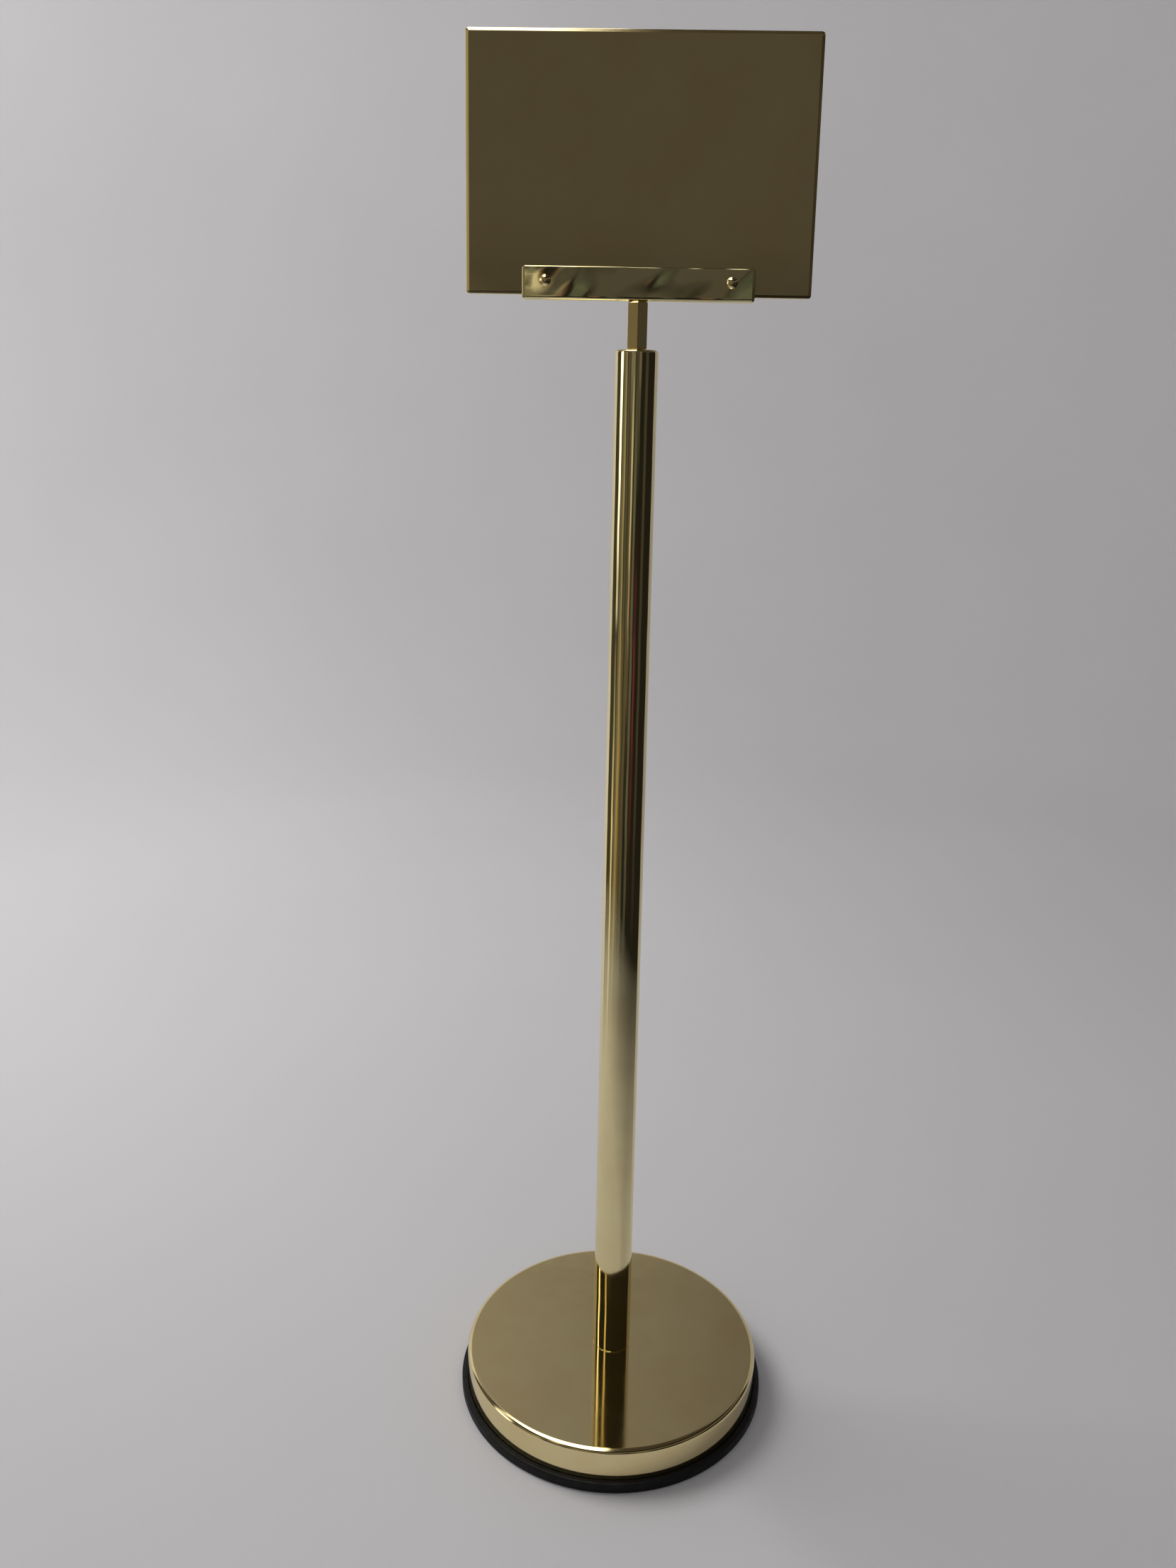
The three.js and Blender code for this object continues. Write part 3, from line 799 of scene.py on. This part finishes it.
def cap_nut(side, x, washer_back):
    """A hexagonal nut with a domed cap, seated on the washer."""
    low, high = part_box("cap_nut_" + side)
    flats = high.x - low.x
    corner = 0.2 * MM
    chamfer = 0.4 * MM
    step = 0.05 * MM                     # between the dome and the hexagon's chamfer
    tip = 0.03 * MM                      # radius of the flat at the top of the dome
    shape = hexagon(flats, corner)
    small = hexagon(flats - 2 * chamfer, corner)
    end = -high.y
    seat = washer_back - SEAM
    dome = flats / 2 - GAP
    hex_end = end + dome
    bore_end = end + 1.6 * MM
    rings = [circle_like(shape, tip, end)]
    steps = 12
    for k in range(1, steps + 1):
        angle = math.radians(90 * k / steps)
        rings.append(circle_like(shape, dome * math.sin(angle), hex_end - dome * math.cos(angle)))
    rings += [
        at_height(small, hex_end + step),
        at_height(shape, hex_end + chamfer),
        at_height(shape, seat - chamfer),
        at_height(small, seat),
        circle_like(shape, SCREW_HOLE, seat),
        circle_like(shape, SCREW_HOLE, bore_end),
        circle_like(shape, tip, bore_end),
    ]
    piece = flat_shading(loft("cap_nut_" + side + "_fine", rings, sharp_degrees=30))
    lay_forward(piece, x, SCREW_Z)
    dress(piece, FITTING_BRASS, "head", "polished_brass", "cap_nut_" + side)


# ---------------------------------------------------------------- inner pieces

INNER_FINISHES = {
    "base_weight": IRON,
    "tie_rod_nut": STEEL,
    "tie_rod_lock_washer": STEEL,
    "tie_rod_washer": STEEL,
    "tie_rod": STEEL,
    "tube_foot_plug": TURNED_BRASS,
    "neck_stud": STEEL,
    "neck_wave_washer": STEEL,
    "bracket_stud": STEEL,
}


def finish_inner_pieces():
    """The pieces inside keep their CAD shape and get a finish."""
    for node, material in INNER_FINISHES.items():
        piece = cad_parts[node]
        piece.data.materials.clear()
        piece.data.materials.append(material)


rubber_ring()
cover()
felt_pad()
post()
top_plug()
neck()
bracket()
sign_plate()
for side, x in zip(SCREW_SIDES, SCREW_XS):
    dome_screw(side, x)
    cap_nut(side, x, back_washer(side, x))
finish_inner_pieces()


# ---------------------------------------------------------------- studio

# the parts of the sheet that the metal mirrors: a stretch behind the stand, up to a height, and a patch
# of the floor that fades out, as painted shade that darkens the floor to the metal away from its centre
CLOTH_SIDE = 116                         # where the stretch behind starts, in degrees round from the front
CLOTH_TOP = 2.9
CLOTH_CENTRE = (-0.25, -0.05, 0.0)
# painted shade: from the first distance out to the second, the metal sees the floor darken into the dim
# room
CLOTH_PAINTED_SHADE_FADE = (0.42, 1.30)                # where the patch starts to fade, and where it has gone


def cloth_mirrored_with_painted_shade(net, place):
    """1 where the metal mirrors the sheet, and 0 where it mirrors the room instead. Its fade across the
    floor is painted shade.
    """
    x, y, z = net.parts(place)
    behind = net.within(net.math("ABSOLUTE", net.round_from_front(x, y)), CLOTH_SIDE, 360, 1)
    behind = net.math("MULTIPLY", behind, net.remap(z, CLOTH_TOP, CLOTH_TOP + 0.1, 1.0, 0.0))
    reach = net.node("ShaderNodeVectorMath", operation="DISTANCE")
    net.link(place, reach.inputs[0])
    reach.inputs[1].default_value = CLOTH_CENTRE
    # painted shade: to the metal, the floor fades into the dim room with distance from CLOTH_CENTRE
    patch_with_painted_shade = net.remap(reach.outputs["Value"], *CLOTH_PAINTED_SHADE_FADE, 1.0, 0.0)
    return net.math("MAXIMUM", behind, patch_with_painted_shade)


def sheet_finish():
    """Pale cloth. To the metal it is see-through where the dim room takes its place, so the metal sees
    painted shade on the floor away from CLOTH_CENTRE.
    """
    material, net, shader = new_material("studio_sheet")
    place = net.place()
    clouds = net.noise(place, 1.3, 3.0, 0.5)
    net.link(net.mix(clouds, (0.66, 0.65, 0.66, 1), (0.72, 0.71, 0.715, 1)), shader.inputs["Base Color"])
    shader.inputs["Roughness"].default_value = 0.9
    shader.inputs["Specular IOR Level"].default_value = 0.1
    net.link(net.bump(net.noise(place, 900.0, 3.0, 0.6), 0.15, 0.3 * MM), shader.inputs["Normal"])
    see_through = net.node("ShaderNodeBsdfTransparent").outputs[0]
    hidden = net.math("SUBTRACT", 1.0, cloth_mirrored_with_painted_shade(net, place))
    seen = net.mirrored_instead(shader.outputs[0], see_through, hidden)
    output = next(node for node in net.tree.nodes if node.type == "OUTPUT_MATERIAL")
    net.link(seen, output.inputs["Surface"])
    return material


def studio_sheet():
    """A pale sheet that lies flat under the stand and sweeps up far away all round."""
    flat_reach = 2.2
    sweep = 2.0
    top = 4.6
    profile = [(flat_reach + sweep, top), *arc(flat_reach, sweep, sweep, 0, -90, 24), (0.02, 0.0)]
    sheet = loft("studio_sheet", [circle(r, z, 180) for r, z in profile], caps=False)
    sheet.data.materials.append(sheet_finish())


def studio_light():
    """A large soft lamp, high on the left. The metal mirrors the room below instead of it."""
    data = bpy.data.lights.new("studio_light", "POINT")
    data.shadow_soft_size = 0.8
    data.energy = 160
    data.color = (1.0, 0.99, 0.975)
    lamp = bpy.data.objects.new("studio_light", data)
    bpy.context.scene.collection.objects.link(lamp)
    lamp.location = (-1.7, 0.9, 2.45)
    lamp.visible_camera = False
    lamp.visible_glossy = False


# what the metal mirrors, the later in front of the earlier: (from, to) in degrees round from the front,
# (from, to) in degrees up, softness in degrees, colour
ROOM = {
    "wall on the left": ((-122, -68), (-70, 26), 2, (0.050, 0.045, 0.032)),
    "window": ((-86, -73), (-6, 26), 2, (2.5, 2.4, 2.2)),
    "window sill": ((-84, -74), (-30, -14), 2, (0.75, 0.66, 0.45)),
    "table lamp": ((-46, -38), (-21, -12), 2, (0.62, 0.36, 0.07)),
    "red cushion": ((22, 33), (-17, -9), 3, (0.14, 0.030, 0.045)),
    "window head": ((-96, -86), (30, 46), 2, (1.9, 1.75, 1.4)),
    "door frame": ((-66, -56), (-60, 26), 2, (0.17, 0.145, 0.10)),
    "pale door": ((-55, -47), (-60, 30), 2, (0.33, 0.30, 0.20)),
    "shelves": ((-42, -12), (-60, 34), 4, (0.095, 0.086, 0.062)),
    "shelf gap": ((-31, -26), (-60, 30), 2, (0.035, 0.030, 0.022)),
    "strip lamp": ((-46, -38), (34, 48), 2, (0.9, 0.75, 0.45)),
    "cupboard": ((-11, 11), (3, 22), 2, (0.082, 0.074, 0.064)),
    "pale towel": ((-14, -6), (-9, 1), 2, (0.62, 0.56, 0.43)),
    "leather strap": ((-6, -3), (-15, 0), 1.5, (0.22, 0.115, 0.065)),
    "grey bag": ((3, 15), (-22, 1), 2, (0.105, 0.115, 0.09)),
    "pale box": ((-26, -13), (3, 13), 3, (0.30, 0.28, 0.22)),
    "poster": ((16, 27), (0, 16), 3, (0.17, 0.155, 0.12)),
    "upper wall": ((-112, 112), (21, 31), 3, (0.20, 0.18, 0.145)),
    "cabinet": ((52, 66), (-20, 16), 3, (0.055, 0.050, 0.040)),
    "ceiling": ((-186, -2), (53, 98), 5, (3.2, 3.15, 3.05)),
    "far ceiling": ((-2, 186), (53, 98), 5, (0.055, 0.046, 0.034)),
}
ROOM_DARK = (0.016, 0.014, 0.012)
# painted light and shade: the metal sees the sheet's upper part lit on the left and shaded on the right
CLOTH_LIT = (0.29, 0.275, 0.26)          # the sheet's upper part behind the stand, as the metal sees it
CLOTH_SHADED = (0.155, 0.145, 0.14)
RAGGED = 11.0                            # how far noise shifts the room's outlines, in degrees
EVEN_LIGHT = 0.24                        # what the sheet and the stand get from all round


def room():
    """Even light for the sheet, and a dim room with a tall window on the left for the metal to mirror."""
    world = bpy.data.worlds.new("room")
    bpy.context.scene.world = world
    world.use_nodes = True
    world.node_tree.nodes.clear()
    net = Net(world.node_tree)
    direction = net.node("ShaderNodeTexCoord").outputs["Generated"]
    x, y, z = net.parts(direction)
    noise = net.noise(direction, 13.0, 3.0, 0.6)
    shift = net.math("MULTIPLY", net.math("SUBTRACT", noise, 0.5), RAGGED)
    azimuth = net.math("ADD", net.round_from_front(x, y), shift)
    height = net.math("MULTIPLY", net.math("ARCSINE", z), 180 / math.pi)
    seen = (*ROOM_DARK, 1)
    for (left, right), (low, high), soft, colour in ROOM.values():
        sideways = net.within(azimuth, left, right, soft)
        share = net.math("MULTIPLY", sideways, net.within(height, low, high, 4))
        seen = net.mix(share, seen, (*colour, 1))
    # painted light and shade: the mirrored sheet, lit on the left and shaded on the right
    cloth = net.mix(net.remap(x, -0.12, 0.10, 0.0, 1.0), (*CLOTH_LIT, 1), (*CLOTH_SHADED, 1))
    behind = net.within(net.math("ABSOLUTE", azimuth), CLOTH_SIDE, 360, 2)
    behind = net.math("MULTIPLY", behind, net.remap(height, 55.0, 60.0, 1.0, 0.0))
    seen = net.mix(behind, seen, cloth)
    mirrored = net.node("ShaderNodeBackground")
    net.link(seen, mirrored.inputs["Color"])
    even = net.node("ShaderNodeBackground")
    even.inputs["Color"].default_value = (0.96, 0.97, 1.0, 1)
    even.inputs["Strength"].default_value = EVEN_LIGHT
    light = net.mirrored_instead(even.outputs[0], mirrored.outputs[0])
    net.link(light, net.node("ShaderNodeOutputWorld").inputs["Surface"])


studio_sheet()
studio_light()
room()

scene = bpy.context.scene
scene.view_settings.view_transform = "Standard"
scene.view_settings.look = "None"


# ---------------------------------------------------------------- camera

def camera():
    """A hand-held view from about a metre up, a little over a metre in front."""
    data = bpy.data.cameras.new("camera")
    data.sensor_width = 36.0
    data.lens = 29.5
    data.shift_y = -0.044
    eye = bpy.data.objects.new("camera", data)
    scene.collection.objects.link(eye)
    azimuth = math.radians(-0.57)
    distance = 1.162
    height = 0.998
    pan = math.radians(1.80)
    pitch = math.radians(-13.57)
    roll = math.radians(1.06)
    eye.location = (distance * math.sin(azimuth), -distance * math.cos(azimuth), height)
    aim = Matrix.Rotation(azimuth + pan, 4, "Z") @ Matrix.Rotation(math.radians(90) + pitch, 4, "X")
    eye.rotation_mode = "QUATERNION"
    eye.rotation_quaternion = (aim @ Matrix.Rotation(roll, 4, "Z")).to_quaternion()
    scene.camera = eye


camera()
